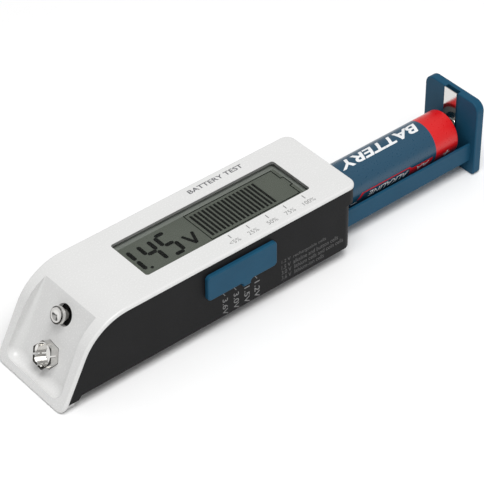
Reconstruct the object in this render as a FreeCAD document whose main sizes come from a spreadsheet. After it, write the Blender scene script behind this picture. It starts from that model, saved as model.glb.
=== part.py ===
"""Hand-held battery tester: white cover with a sloped 9 V terminal nose, black lower shell,
a blue drawer pulled out at the rear and an AA cell clamped in it.

Frame: +X from the nose to the drawer, +Z up, z = 0 on the surface the tester stands on,
y = 0 on the middle plane, x = 0 about halfway between the nose lip and the drawer's end plate.
Lengths are millimetres, angles degrees.
"""
import FreeCAD, Part
import math
import os
import Sketcher

Vector = FreeCAD.Vector
doc = FreeCAD.newDocument("battery_tester")

# ---------------------------------------------------------------- driving dimensions
SIZES = {
    "overall_length": 162.2,
    "nose_reach": 81.35,
    "housing_length": 107.4,
    "housing_width": 30.8,
    "housing_height": 26.35,
    "underside": 4.0,
    "corner_radius": 3.0,
    "nose_lean": 27.0,
    "nose_radius": 17.8,
    "cover_edge": 1.12,
    "cover_wall": 1.8,
    "nose_wall": 5.0,
    "edge_round": 0.75,
    "window_from_nose": 36.15,
    "window_length": 59.15,
    "window_width": 16.75,
    "window_round": 0.9,
    "pane_sunk": 0.08,
    "pane_depth": 1.0,
    "pane_thick": 0.6,
    "pane_fit": 0.05,
    "window_border": 1.5,
    "display_gap": 0.25,
    "film_thick": 0.2,
    "glass_thick": 0.8,
    "recess_rim": 3.2,
    "recess_depth": 3.5,
    "recess_width": 25.4,
    "recess_width_top": 22.8,
    "recess_length": 26.6,
    "recess_blend": 3.2,
    "recess_blend_top": 0.3,
    "shell_wall": 1.5,
    "rear_step": 1.7,
    "rear_band": 4.9,
    "foot_drop": 1.2,
    "foot_length": 3.8,
    "drawer_width": 18.7,
    "drawer_top": 11.0,
    "drawer_lip": 0.8,
    "keel_width": 14.6,
    "trough_radius": 9.1,
    "trough_floor": 1.0,
    "drawer_inside": 26.8,
    "drawer_travel": 12.0,
    "closing_travel": 51.4,
    "slide_gap": 0.15,
    "rail_wall": 1.1,
    "rail_cap": 0.9,
    "board_post_radius": 2.1,
    "plate_thick": 3.0,
    "plate_width": 22.5,
    "plate_height": 26.35,
    "plate_round": 3.2,
    "slot_width": 5.3,
    "slot_depth": 1.3,
    "strip_proud": 0.45,
    "sheet_metal": 0.3,
    "spring_wire": 0.25,
    "cell_radius": 7.1,
    "cell_length": 50.2,
    "cell_axis_height": 12.25,
    "tip_from_plate": 1.5,
    "contact_gap": 0.05,
    "cell_nub_radius": 2.75,
    "cell_nub_length": 1.5,
    "terminal_pitch": 12.7,
    "socket_up_slope": 10.75,
    "stud_radius": 2.6,
    "stud_neck": 1.8,
    "stud_height": 3.0,
    "stud_hole_radius": 3.25,
    "socket_radius": 4.15,
    "socket_height": 2.8,
    "socket_turn": 24.0,
    "knob_centre": -18.1,
    "knob_length": 25.1,
    "knob_height": 8.7,
    "knob_middle": 18.25,
    "knob_proud": 1.3,
    "pointer_offset": 1.6,
    "pointer_width": 2.8,
    "pointer_drop": 1.6,
    "stem_length": 3.0,
    "stem_height": 2.4,
    "stem_middle": 20.4,
    "selector_pitch": 3.95,
    "board_bottom": 17.4,
    "board_thick": 1.2,
    "board_width": 27.2,
    "screw_radius": 1.0,
    "screw_head": 1.7,
    "boss_radius": 1.8,
}

sheet = doc.addObject("Spreadsheet::Sheet", "sizes")
for row, (alias, value) in enumerate(SIZES.items(), start=1):
    sheet.set(f"A{row}", alias.replace("_", " "))
    sheet.set(f"B{row}", str(value))
    sheet.setAlias(f"B{row}", alias)
doc.recompute()

# Places worked out from the driving dimensions, as expressions.
NOSE = "(-sizes.nose_reach)"
REAR = f"({NOSE} + sizes.housing_length)"
TOP = "sizes.housing_height"
LEAN = "(sizes.nose_lean * 1deg)"
SHELL_REAR = f"({REAR} - sizes.rear_step)"
SHELL_TOP = f"({TOP} - sizes.cover_edge)"
INSIDE_WIDTH = "(sizes.housing_width - 2 * sizes.shell_wall)"
FLOOR = "(sizes.underside + sizes.shell_wall)"
WINDOW_X = f"({NOSE} + sizes.window_from_nose + sizes.window_length / 2)"
PLATE_X = "(sizes.overall_length - sizes.nose_reach - sizes.plate_thick)"
CELL_Z = "sizes.cell_axis_height"
CELL_TIP = f"({PLATE_X} - sizes.tip_from_plate)"
BOARD_TOP = "(sizes.board_bottom + sizes.board_thick)"
SIDE = "(sizes.housing_width / 2)"
DRAWER_END = f"({SHELL_REAR} - sizes.drawer_inside)"
STOP_X = f"({SHELL_REAR} - sizes.shell_wall - sizes.drawer_travel - 2.25)"
POST_X = f"({NOSE} + 16)"
SPRING_Y = "(-3.6)"
SPRING_Z = "9.6"
TROUGH_Z = "(sizes.underside + sizes.trough_floor + sizes.trough_radius)"


def value(expression):
    """Number that an expression gives with the sheet's present sizes."""
    result = sheet.evalExpression(str(expression))
    return float(getattr(result, "Value", result))


def slope_point(up, inward):
    """Point (x, z) on the nose: `up` along its slope from the lip, `inward` below its surface."""
    x = f"{NOSE} + ({up}) * sin({LEAN}) + ({inward}) * cos({LEAN})"
    z = f"({up}) * cos({LEAN}) - ({inward}) * sin({LEAN})"
    return x, z


def slope_at(height, inward):
    """x of the nose surface, `inward` below it, at a height above the rest plane."""
    return f"{NOSE} + ({inward}) / cos({LEAN}) + ({height}) * tan({LEAN})"


# ---------------------------------------------------------------- sketch and feature helpers
def new_body(label):
    body = doc.addObject("PartDesign::Body", label)
    body.Label = label
    return body


def new_sketch(body, name, role, offset="0"):
    """Sketch on one of the body's own origin planes, shifted along its normal."""
    sketch = body.newObject("Sketcher::SketchObject", name)
    plane = [item for item in body.Origin.OriginFeatures if item.Role == role][0]
    sketch.AttachmentSupport = (plane, "")
    sketch.MapMode = "FlatFace"
    sketch.setExpression("AttachmentOffset.Base.z", offset)
    return sketch


def bind(sketch, constraint, expression):
    index = sketch.addConstraint(constraint)
    sketch.setExpression(f"Constraints[{index}]", expression)


def corner_arc(before, corner, after, radius):
    """Arc that rounds a corner, anticlockwise about +Z, and the two points where it meets the sides."""
    to_before = (before - corner).normalize()
    to_after = (after - corner).normalize()
    half = to_before.getAngle(to_after) / 2
    start = corner + to_before * (radius / math.tan(half))
    end = corner + to_after * (radius / math.tan(half))
    centre = corner + (to_before + to_after).normalize() * (radius / math.sin(half))
    first, last = start - centre, end - centre
    if first.cross(last).z < 0:
        first, last = last, first
    angles = [math.atan2(spoke.y, spoke.x) for spoke in (first, last)]
    return Part.ArcOfCircle(Part.Circle(centre, Vector(0, 0, 1), radius), *angles), start, end


def outline(sketch, corners):
    """Closed outline through corners (u, v) or (u, v, radius), each an expression."""
    points = [Vector(value(corner[0]), value(corner[1]), 0) for corner in corners]
    count = len(points)
    starts, ends, arcs = list(points), list(points), {}
    for index, corner in enumerate(corners):
        if len(corner) == 3:
            following = points[(index + 1) % count]
            arcs[index], starts[index], ends[index] = corner_arc(
                points[index - 1], points[index], following, value(corner[2]))
    lines = []
    for index in range(count):
        side = Part.LineSegment(ends[index], starts[(index + 1) % count])
        lines.append(sketch.addGeometry(side, False))
    for index, corner in enumerate(corners):
        before, after = lines[index - 1], lines[index]
        if index in arcs:
            curve = sketch.addGeometry(arcs[index], False)
            same_way = arcs[index].StartPoint.distanceToPoint(starts[index]) < 1e-6
            near, far = (1, 2) if same_way else (2, 1)
            sketch.addConstraint(Sketcher.Constraint("Tangent", before, 2, curve, near))
            sketch.addConstraint(Sketcher.Constraint("Tangent", curve, far, after, 1))
            bind(sketch, Sketcher.Constraint("Radius", curve, value(corner[2])), str(corner[2]))
            mark = sketch.addGeometry(Part.Point(points[index]), True)
            sketch.addConstraint(Sketcher.Constraint("PointOnObject", mark, 1, before))
            sketch.addConstraint(Sketcher.Constraint("PointOnObject", mark, 1, after))
            held = (mark, 1)
        else:
            sketch.addConstraint(Sketcher.Constraint("Coincident", before, 2, after, 1))
            held = (after, 1)
        bind(sketch, Sketcher.Constraint("DistanceX", -1, 1, *held, points[index].x), str(corner[0]))
        bind(sketch, Sketcher.Constraint("DistanceY", -1, 1, *held, points[index].y), str(corner[1]))


def rectangle(sketch, centre_u, centre_v, wide, tall, radius=None):
    """Rectangle about a centre, with rounded corners if a radius is given."""
    corners = []
    for side_u, side_v in ((-1, -1), (1, -1), (1, 1), (-1, 1)):
        corner = [f"{centre_u} + {side_u} * ({wide}) / 2", f"{centre_v} + {side_v} * ({tall}) / 2"]
        if radius:
            corner.append(radius)
        corners.append(tuple(corner))
    outline(sketch, corners)


def circle(sketch, centre_u, centre_v, radius):
    centre = Vector(value(centre_u), value(centre_v), 0)
    ring = sketch.addGeometry(Part.Circle(centre, Vector(0, 0, 1), value(radius)), False)
    bind(sketch, Sketcher.Constraint("Radius", ring, value(radius)), str(radius))
    bind(sketch, Sketcher.Constraint("DistanceX", -1, 1, ring, 3, centre.x), str(centre_u))
    bind(sketch, Sketcher.Constraint("DistanceY", -1, 1, ring, 3, centre.y), str(centre_v))


def pad(body, sketch, length, midplane=False):
    feature = body.newObject("PartDesign::Pad", f"{sketch.Name}_pad")
    feature.Profile = sketch
    feature.setExpression("Length", length)
    feature.Midplane = midplane
    sketch.Visibility = False
    doc.recompute()
    return feature


def pocket(body, sketch, length, midplane=False, reverse=False):
    """Cut that must take material away: its direction is turned round if it misses."""
    before = body.Shape.Volume
    feature = body.newObject("PartDesign::Pocket", f"{sketch.Name}_pocket")
    feature.Profile = sketch
    feature.setExpression("Length", length)
    feature.Midplane = midplane
    feature.Reversed = reverse
    doc.recompute()
    if body.Shape.Volume > before - 1e-6:
        raise SystemExit(f"{feature.Name} cuts nothing")
    return feature


def edges_where(shape, test):
    """Names of the edges whose middle point and direction pass a test."""
    names = []
    for index, edge in enumerate(shape.Edges, start=1):
        middle = edge.valueAt((edge.FirstParameter + edge.LastParameter) / 2)
        along = edge.tangentAt((edge.FirstParameter + edge.LastParameter) / 2)
        if test(middle, along, edge):
            names.append(f"Edge{index}")
    return names


def fillet(body, name, radius, test):
    base = body.Tip
    feature = body.newObject("PartDesign::Fillet", name)
    feature.Base = (base, edges_where(base.Shape, test))
    feature.setExpression("Radius", radius)
    doc.recompute()
    return feature


def box(name, low, high):
    """Box between two corners, each three expressions."""
    item = doc.addObject("Part::Box", name)
    item.Label = name
    for property_name, start, end in zip(("Length", "Width", "Height"), low, high):
        item.setExpression(property_name, f"({end}) - ({start})")
    for axis, start in zip("xyz", low):
        item.setExpression(f"Placement.Base.{axis}", str(start))
    return item


def centred_box(name, centre, size):
    """Box about a centre, both as three expressions."""
    low = [f"{middle} - ({length}) / 2" for middle, length in zip(centre, size)]
    high = [f"{middle} + ({length}) / 2" for middle, length in zip(centre, size)]
    return box(name, low, high)


def upright(name, x, y, bottom, top, radius):
    """Vertical cylinder."""
    item = doc.addObject("Part::Cylinder", name)
    item.Label = name
    item.setExpression("Radius", str(radius))
    item.setExpression("Height", f"({top}) - ({bottom})")
    for axis, start in zip("xyz", (x, y, bottom)):
        item.setExpression(f"Placement.Base.{axis}", str(start))
    return item


def join(name, pieces):
    item = doc.addObject("Part::MultiFuse", name)
    item.Label = name
    item.Shapes = pieces
    return item


def group(name, pieces):
    """Several separate solids of one kind in one object."""
    item = doc.addObject("Part::Compound", name)
    item.Label = name
    item.Links = pieces
    return item


def cut(name, base, tools):
    item = doc.addObject("Part::Cut", name)
    item.Label = name
    item.Base = base
    item.Tool = tools[0] if len(tools) == 1 else join(f"{name}_tools", tools)
    return item


def shaped(name, shape, placement=None):
    """Part::Feature for a form that the parametric features don't cover."""
    item = doc.addObject("Part::Feature", name)
    item.Label = name
    item.Shape = shape
    if placement:
        item.Placement = placement
    return item


def on_slope(up, inward):
    """Placement on the nose: local +Z outwards, local +X up the slope, origin at (up, inward)."""
    x, z = slope_point(up, inward)
    outwards = FreeCAD.Rotation(Vector(0, 1, 0), -(90 - value("sizes.nose_lean")))
    return FreeCAD.Placement(Vector(value(x), 0, value(z)), outwards)


STUD_UP = "(sizes.socket_up_slope + sizes.terminal_pitch)"
SOCKET_UP = "sizes.socket_up_slope"
CASE_SCREWS = (
    (f"({NOSE} + 24)", "10"),
    (f"({NOSE} + 24)", "-10"),
    (f"({SHELL_REAR} - 4.8)", "11.9"),
    (f"({SHELL_REAR} - 4.8)", "-11.9"),
)
BOARD_SCREWS = (
    (f"({NOSE} + 31.2)", "11.9"),
    (f"({SHELL_REAR} - 9.8)", "11.9"),
)


# ---------------------------------------------------------------- top cover
def make_top_cover():
    body = new_body("top_cover_moulding")
    skin = new_sketch(body, "cover_skin", "XZ_Plane")
    edge = "sizes.cover_edge"
    outline(skin, [
        (REAR, TOP),
        (slope_at(TOP, "0"), TOP, "sizes.nose_radius"),
        (NOSE, "0"),
        (slope_at("0", edge), "0"),
        (slope_at(SHELL_TOP, edge), SHELL_TOP, f"sizes.nose_radius - {edge}"),
        (REAR, SHELL_TOP),
    ])
    pad(body, skin, "sizes.housing_width", midplane=True)
    fillet(body, "rear_corners", "sizes.corner_radius",
           lambda p, t, e: abs(t.z) > 0.99 and p.x > value(REAR) - 0.01)
    core = new_sketch(body, "cover_core", "XZ_Plane")
    ceiling = f"{TOP} - sizes.cover_wall"
    outline(core, [
        (f"{SHELL_REAR} - sizes.shell_wall - 0.2", f"{TOP} - 0.5"),
        (slope_at(f"{TOP} - 0.5", "0.5"), f"{TOP} - 0.5", "sizes.nose_radius - 0.5"),
        (slope_at("0", "0.5"), "0"),
        (slope_at("0", "sizes.nose_wall"), "0"),
        (slope_at(ceiling, "sizes.nose_wall"), ceiling, "2"),
        (f"{SHELL_REAR} - sizes.shell_wall - 0.2", ceiling),
    ])
    pad(body, core, f"{INSIDE_WIDTH} - 0.2", midplane=True)
    corners = new_sketch(body, "nose_corners", "YZ_Plane", "-40")
    for side in ("1", "-1"):
        at = f"{side} * {SIDE}"
        outline(corners, [
            (at, "4"),
            (at, "0", "sizes.corner_radius"),
            (f"{at} - {side} * 4", "0"),
            (f"{at} - {side} * 4", "-2"),
            (f"{at} + {side} * 2", "-2"),
            (f"{at} + {side} * 2", "4"),
        ])
    pocket(body, corners, "60")
    fillet(body, "outer_edge_round", "sizes.edge_round",
           lambda p, t, e: outer_cover_edge(p))
    window = new_sketch(body, "window", "XY_Plane", TOP)
    rectangle(window, WINDOW_X, "0", "sizes.window_length", "sizes.window_width", "sizes.window_round")
    pocket(body, window, "sizes.cover_wall + 1")
    seat = new_sketch(body, "pane_seat", "XY_Plane", f"{TOP} - sizes.pane_depth")
    rectangle(seat, WINDOW_X, "0", "sizes.window_length + 3.4", "sizes.window_width + 3.4", "0.5")
    pocket(body, seat, "sizes.cover_wall")
    bosses = []
    for index, (x, y) in enumerate(CASE_SCREWS):
        bosses.append(upright(f"cover_boss_{index}", x, y, "12.8", ceiling, "sizes.boss_radius"))
    moulding = join("cover_with_bosses", [body] + bosses)
    tools = [shaped("recess_scoop", scoop(), on_slope("sizes.recess_rim", "sizes.recess_depth")),
             shaped("stud_hole", Part.makeCylinder(value("sizes.stud_hole_radius"), 12, Vector(0, 0, -6)),
                    on_slope(STUD_UP, "sizes.recess_depth")),
             shaped("socket_hole", hexagon_prism(value("sizes.socket_radius") + 0.1, -6, 12),
                    on_slope(SOCKET_UP, "sizes.recess_depth"))]
    for index, (x, y) in enumerate(CASE_SCREWS):
        tools.append(upright(f"cover_pilot_{index}", x, y, "12", "19", "sizes.screw_radius * 0.9"))
    return cut("top_cover", moulding, tools)


def outer_cover_edge(middle):
    """Is an edge part of the cover's outer outline, where its top meets its sides?"""
    corner = value("sizes.corner_radius") + 0.1
    near_side = abs(middle.y) > value(SIDE) - corner
    on_top = abs(middle.z - value(TOP)) < 0.01 and (near_side or middle.x > value(REAR) - corner)
    lean = math.radians(value("sizes.nose_lean"))
    depth = (middle.x - value(NOSE)) * math.cos(lean) - middle.z * math.sin(lean)
    on_nose = abs(depth) < 0.01 and (near_side or middle.z < 0.01)
    centre = Vector(value(NOSE) + value(TOP) * math.tan(lean), 0, value(TOP))
    radius = value("sizes.nose_radius")
    tangent = radius * math.tan((math.pi / 2 - lean) / 2)
    arc_centre = Vector(centre.x + tangent, 0, value(TOP) - radius)
    from_centre = math.hypot(middle.x - arc_centre.x, middle.z - arc_centre.z)
    on_side = abs(middle.y) > value(SIDE) - 0.01
    on_arc = abs(from_centre - radius) < 0.01 and on_side and middle.x < arc_centre.x
    return on_top or on_nose or on_arc


def scoop():
    """Tool for the terminal recess: narrower up the slope, with walls that blend into its floor."""
    length = value("sizes.recess_length")
    low, high = value("sizes.recess_width") / 2, value("sizes.recess_width_top") / 2
    blend, blend_top = value("sizes.recess_blend"), value("sizes.recess_blend_top")
    corners = [Vector(0, -low, 0), Vector(length, -high, 0), Vector(length, high, 0), Vector(0, low, 0)]
    block = Part.Face(Part.makePolygon(corners + corners[:1])).extrude(Vector(0, 0, 20))
    for side in (-1, 1):
        edge = [edge for edge in block.Edges if edge.BoundBox.ZMax < 1e-6
                and edge.BoundBox.XLength > length - 0.1 and edge.CenterOfMass.y * side > 1][0]
        starts_low = edge.valueAt(edge.FirstParameter).x < 1
        radii = (blend, blend_top) if starts_low else (blend_top, blend)
        block = block.makeFillet(*radii, [edge])
    ends = [edge for edge in block.Edges if edge.BoundBox.ZMax < 1e-6 and edge.BoundBox.XMax < 1e-6]
    return block.makeFillet(blend, ends)


def hexagon_prism(radius, bottom, height):
    """Hexagonal prism along Z, turned as the socket terminal is."""
    angles = [math.radians(60 * side + value("sizes.socket_turn")) for side in range(7)]
    corners = [Vector(radius * math.cos(angle), radius * math.sin(angle), bottom) for angle in angles]
    return Part.Face(Part.makePolygon(corners)).extrude(Vector(0, 0, height))


# ---------------------------------------------------------------- lower shell
def make_bottom_shell():
    body = new_body("shell_moulding")
    side = new_sketch(body, "shell_side", "XZ_Plane")
    edge = "sizes.cover_edge"
    foot = "sizes.underside - sizes.foot_drop"
    band = f"{SHELL_TOP} - sizes.rear_band"
    foot_front = slope_at(foot, edge)
    outline(side, [
        (SHELL_REAR, "sizes.underside"),
        (SHELL_REAR, f"{band} - 0.5"),
        (f"{REAR} - 0.15", band),
        (f"{REAR} - 0.15", SHELL_TOP),
        (slope_at(SHELL_TOP, edge), SHELL_TOP, f"sizes.nose_radius - {edge}"),
        (foot_front, foot),
        (f"{foot_front} + sizes.foot_length", foot, "0.5"),
        (f"{foot_front} + sizes.foot_length + 1", "sizes.underside", "0.5"),
    ])
    pad(body, side, "sizes.housing_width - 0.1", midplane=True)
    cut_plan_corners(body, "lower_corners", SHELL_REAR, "0", f"{band} - 0.5")
    cut_plan_corners(body, "band_corners", f"{REAR} - 0.15", f"{band} - 0.5", "12")
    fillet(body, "shell_lower_edges", "0.25",
           lambda p, t, e: abs(p.z - value("sizes.underside")) < 0.01 and abs(abs(p.y) - value(SIDE)) < 0.1)
    inside = new_sketch(body, "shell_inside", "XZ_Plane")
    thin_floor = "(sizes.underside + 0.6)"
    front = slope_at(thin_floor, "sizes.nose_wall + 0.25")
    back = f"{SHELL_REAR} - sizes.shell_wall"
    outline(inside, [
        (f"{NOSE} - 5", "-1"),
        (front, "-1"),
        (front, thin_floor),
        (f"{front} + 2.3", thin_floor),
        (f"{front} + 2.3", FLOOR),
        (back, FLOOR),
        (back, f"{TOP} + 4"),
        (f"{NOSE} - 5", f"{TOP} + 4"),
    ])
    pocket(body, inside, INSIDE_WIDTH, midplane=True)
    lip_top = "(sizes.underside + sizes.drawer_lip)"
    channel_front = f"({DRAWER_END} - sizes.closing_travel - 1)"
    bed = new_sketch(body, "drawer_bed", "XY_Plane", lip_top)
    rectangle(bed, f"({channel_front} + {SHELL_REAR} + 3) / 2", "0",
              f"{SHELL_REAR} + 3 - {channel_front}", "sizes.drawer_width + 2 * sizes.slide_gap")
    pocket(body, bed, f"sizes.drawer_top + sizes.slide_gap - {lip_top}", reverse=True)
    keelway = new_sketch(body, "keelway", "XY_Plane", "sizes.underside - 1")
    rectangle(keelway, f"({channel_front} + {SHELL_REAR} + 3) / 2", "0",
              f"{SHELL_REAR} + 3 - {channel_front}", "sizes.keel_width + 2 * sizes.slide_gap")
    pocket(body, keelway, "4", reverse=True)
    tongue = new_sketch(body, "mouth_tongue", "YZ_Plane", back)
    reach = "sizes.trough_radius - 0.35"
    outline(tongue, [
        (f"-({reach})", TROUGH_Z),
        (f"-({reach})", f"{TROUGH_Z} - ({reach})", f"({reach}) * 0.95"),
        (reach, f"{TROUGH_Z} - ({reach})", f"({reach}) * 0.95"),
        (reach, TROUGH_Z),
    ])
    pad(body, tongue, "sizes.shell_wall")
    slot = new_sketch(body, "selector_slot", "XZ_Plane", f"{SIDE} - 4")
    rectangle(slot, "sizes.knob_centre - sizes.selector_pitch / 2", "sizes.stem_middle",
              "3 * sizes.selector_pitch + sizes.stem_length + 0.4", "sizes.stem_height + 0.4")
    pocket(body, slot, "8", reverse=True)
    contact_slot = new_sketch(body, "contact_slot", "YZ_Plane", f"{back} - 2")
    rectangle(contact_slot, "0", "19.45", "5.6", "0.6")
    pocket(body, contact_slot, "6", reverse=True)
    pieces = [body]
    rail_low = f"({FLOOR} - 0.2)"
    for name, sign in (("far", "1"), ("near", "-1")):
        gap_side = f"{sign} * (sizes.drawer_width / 2 + sizes.slide_gap)"
        outer = f"{gap_side} + {sign} * sizes.rail_wall"
        middle = f"(({gap_side}) + ({outer})) / 2"
        rail_end = f"({SHELL_REAR} - sizes.shell_wall + 0.3)"
        rail_middle = f"({channel_front} + {rail_end}) / 2"
        rail_length = f"{rail_end} - ({channel_front})"
        rail_top = "(sizes.drawer_top + sizes.slide_gap + sizes.rail_cap)"
        pieces.append(centred_box(f"rail_{name}", (rail_middle, middle, f"({rail_low} + {rail_top}) / 2"),
                                  (rail_length, "sizes.rail_wall", f"{rail_top} - ({rail_low})")))
        cap = f"{sign} * (sizes.drawer_width / 2 + sizes.slide_gap - 0.3)"
        pieces.append(centred_box(f"rail_cap_{name}", (rail_middle, cap, f"{rail_top} - sizes.rail_cap / 2"),
                                  (rail_length, "2.0", "sizes.rail_cap")))
    pieces.append(centred_box("spring_post_foot", (POST_X, SPRING_Y, f"{FLOOR} + 0.9"),
                              ("3.2", "3.2", "2.2")))
    pieces.append(upright("spring_post", POST_X, SPRING_Y, f"{FLOOR} + 0.5", "12.6", "0.9"))
    for index, (x, y) in enumerate(CASE_SCREWS):
        pieces.append(upright(f"shell_boss_{index}", x, y, f"{FLOOR} - 0.3", "12.7",
                              "sizes.boss_radius + 0.6"))
    for index, (x, y) in enumerate(BOARD_SCREWS):
        for name, across in (("board_post", y), ("board_rest", f"-{y}")):
            pieces.append(upright(f"{name}_{index}", x, across, rail_top_level(), "sizes.board_bottom",
                                  "sizes.board_post_radius"))
    moulding = join("shell_with_bosses", pieces)
    tools = []
    for index, (x, y) in enumerate(CASE_SCREWS):
        tools.append(upright(f"shell_hole_{index}", x, y, "2", "14", "sizes.screw_radius + 0.15"))
        tools.append(upright(f"head_hole_{index}", x, y, "2", "7", "sizes.screw_head + 0.15"))
    for index, (x, y) in enumerate(BOARD_SCREWS):
        tools.append(upright(f"board_pilot_{index}", x, y, "12.9", "19", "sizes.screw_radius * 0.9"))
    return cut("bottom_shell", moulding, tools)


def cut_plan_corners(body, name, rear, bottom, height):
    """Round the two vertical rear corners of a block whose rear face is at x = rear."""
    sketch = new_sketch(body, name, "XY_Plane", bottom)
    for side in ("1", "-1"):
        at = f"{side} * ({SIDE} - 0.05)"
        outline(sketch, [
            (f"{rear} - 4", at),
            (rear, at, "sizes.corner_radius"),
            (rear, f"{at} - {side} * 4"),
            (f"{rear} + 3", f"{at} - {side} * 4"),
            (f"{rear} + 3", f"{at} + {side} * 3"),
            (f"{rear} - 4", f"{at} + {side} * 3"),
        ])
    pocket(body, sketch, height, reverse=True)


def rail_top_level():
    """Height where the board posts start: inside the rails' caps."""
    return "(sizes.drawer_top + sizes.slide_gap + 0.4)"


# ---------------------------------------------------------------- display
def make_display():
    """The clear window and the liquid crystal display under it, layer by layer."""
    length = "(sizes.window_length + 2 * sizes.window_border)"
    width = "(sizes.window_width + 2 * sizes.window_border)"
    pane_bottom = f"({TOP} - sizes.pane_depth - sizes.pane_thick)"
    film_top = f"({pane_bottom} - sizes.display_gap)"
    front_top = f"({film_top} - sizes.film_thick)"
    rear_top = f"({front_top} - sizes.glass_thick)"
    reflector_top = f"({rear_top} - sizes.glass_thick)"
    middle = WINDOW_X

    def layer(name, high, thick, along, across):
        return centred_box(name, (middle, "0", f"{high} - {thick} / 2"), (along, across, thick))

    pane = new_body("pane_moulding")
    flange = new_sketch(pane, "pane_flange", "XY_Plane", pane_bottom)
    rectangle(flange, middle, "0", length, width)
    pad(pane, flange, "sizes.pane_thick")
    face = new_sketch(pane, "pane_face", "XY_Plane", pane_bottom)
    rectangle(face, middle, "0", "sizes.window_length - 2 * sizes.pane_fit",
              "sizes.window_width - 2 * sizes.pane_fit", "sizes.window_round - sizes.pane_fit")
    pad(pane, face, f"{TOP} - sizes.pane_sunk - {pane_bottom}")
    pane.Label = "window_pane"
    parts = [pane]
    parts.append(layer("lcd_front_polariser", film_top, "sizes.film_thick",
                       "sizes.window_length - 1.7", "sizes.window_width - 2.6"))
    parts.append(layer("lcd_front_glass", front_top, "sizes.glass_thick", length, width))
    parts.append(layer("lcd_rear_glass", rear_top, "sizes.glass_thick", length, f"{width} - 3.6"))
    parts.append(layer("lcd_reflector", reflector_top, "sizes.film_thick",
                       f"{length} - 0.6", f"{width} - 4.2"))
    strips = []
    for name, sign in (("far", "1"), ("near", "-1")):
        across = f"{sign} * ({width} / 2 - 0.85)"
        strips.append(centred_box(f"zebra_{name}", (middle, across, f"({BOARD_TOP} + {rear_top}) / 2"),
                                  (f"{length} - 4", "1.5", f"{rear_top} - {BOARD_TOP}")))
    parts.append(group("zebra_strips", strips))
    wall = centred_box("frame_block", (middle, "0", f"({BOARD_TOP} + {film_top}) / 2"),
                       (f"{length} + 1.2", f"{width} + 1.0", f"{film_top} - {BOARD_TOP}"))
    hole = centred_box("frame_hole", (middle, "0", f"({BOARD_TOP} + {film_top}) / 2"),
                       (f"{length} + 0.1", f"{width} + 0.1", "12"))
    parts.append(cut("lcd_frame", wall, [hole]))
    return parts


# ---------------------------------------------------------------- circuit board and what is on it
def make_electronics():
    board_front, board_back = f"({NOSE} + 29.2)", f"({SHELL_REAR} - 6.8)"
    middle = f"(({board_front}) + ({board_back})) / 2"
    blank = centred_box("board_blank", (middle, "0", f"sizes.board_bottom + sizes.board_thick / 2"),
                        (f"{board_back} - {board_front}", "sizes.board_width", "sizes.board_thick"))
    holes = [upright(f"board_hole_{index}", x, y, "16", "20", "sizes.screw_radius + 0.1")
             for index, (x, y) in enumerate(BOARD_SCREWS)]
    parts = [cut("circuit_board", blank, holes)]
    under = "sizes.board_bottom"

    def hung(name, x, y, length, width, height):
        return centred_box(name, (x, y, f"{under} - ({height}) / 2"), (length, width, height))

    parts.append(hung("controller_chip", f"{middle} - 4", "0", "7", "7", "1.4"))
    parts.append(hung("converter_chip", f"{middle} + 14", "3", "3", "3", "1.1"))
    core = upright("inductor_core", f"{middle} + 14", "-3.5", f"{under} - 2.6", under, "2.6")
    parts.append(core)
    core.Label = "boost_inductor"
    tanks = [upright(f"capacitor_can_{index}", f"{middle} + {offset}", y, f"{under} - 3.6", under, "1.9")
             for index, (offset, y) in enumerate((("21.5", "3.5"), ("21.5", "-3.5")))]
    parts.append(group("electrolytic_capacitors", tanks))
    chips = [hung(f"resistor_{index}", f"{middle} - {20 - 3 * index}", "6", "1.6", "0.8", "0.5")
             for index in range(6)]
    parts.append(group("load_resistors", chips))
    screws = []
    for index, (x, y) in enumerate(BOARD_SCREWS):
        head = upright(f"board_screw_head_{index}", x, y, BOARD_TOP, f"{BOARD_TOP} + 1.0",
                       "sizes.screw_radius * 1.35")
        shank = upright(f"board_screw_shank_{index}", x, y, "13.6", BOARD_TOP, "sizes.screw_radius * 0.88")
        screws.append(join(f"board_screw_{index}", [head, shank]))
    parts.append(group("board_screws", screws))
    screws = []
    for index, (x, y) in enumerate(CASE_SCREWS):
        head = upright(f"case_screw_head_{index}", x, y, "5.6", "6.98", "sizes.screw_head")
        shank = upright(f"case_screw_shank_{index}", x, y, "6.9", "17.5", "sizes.screw_radius * 0.88")
        screws.append(join(f"case_screw_{index}", [head, shank]))
    parts.append(group("case_screws", screws))
    return parts


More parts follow.
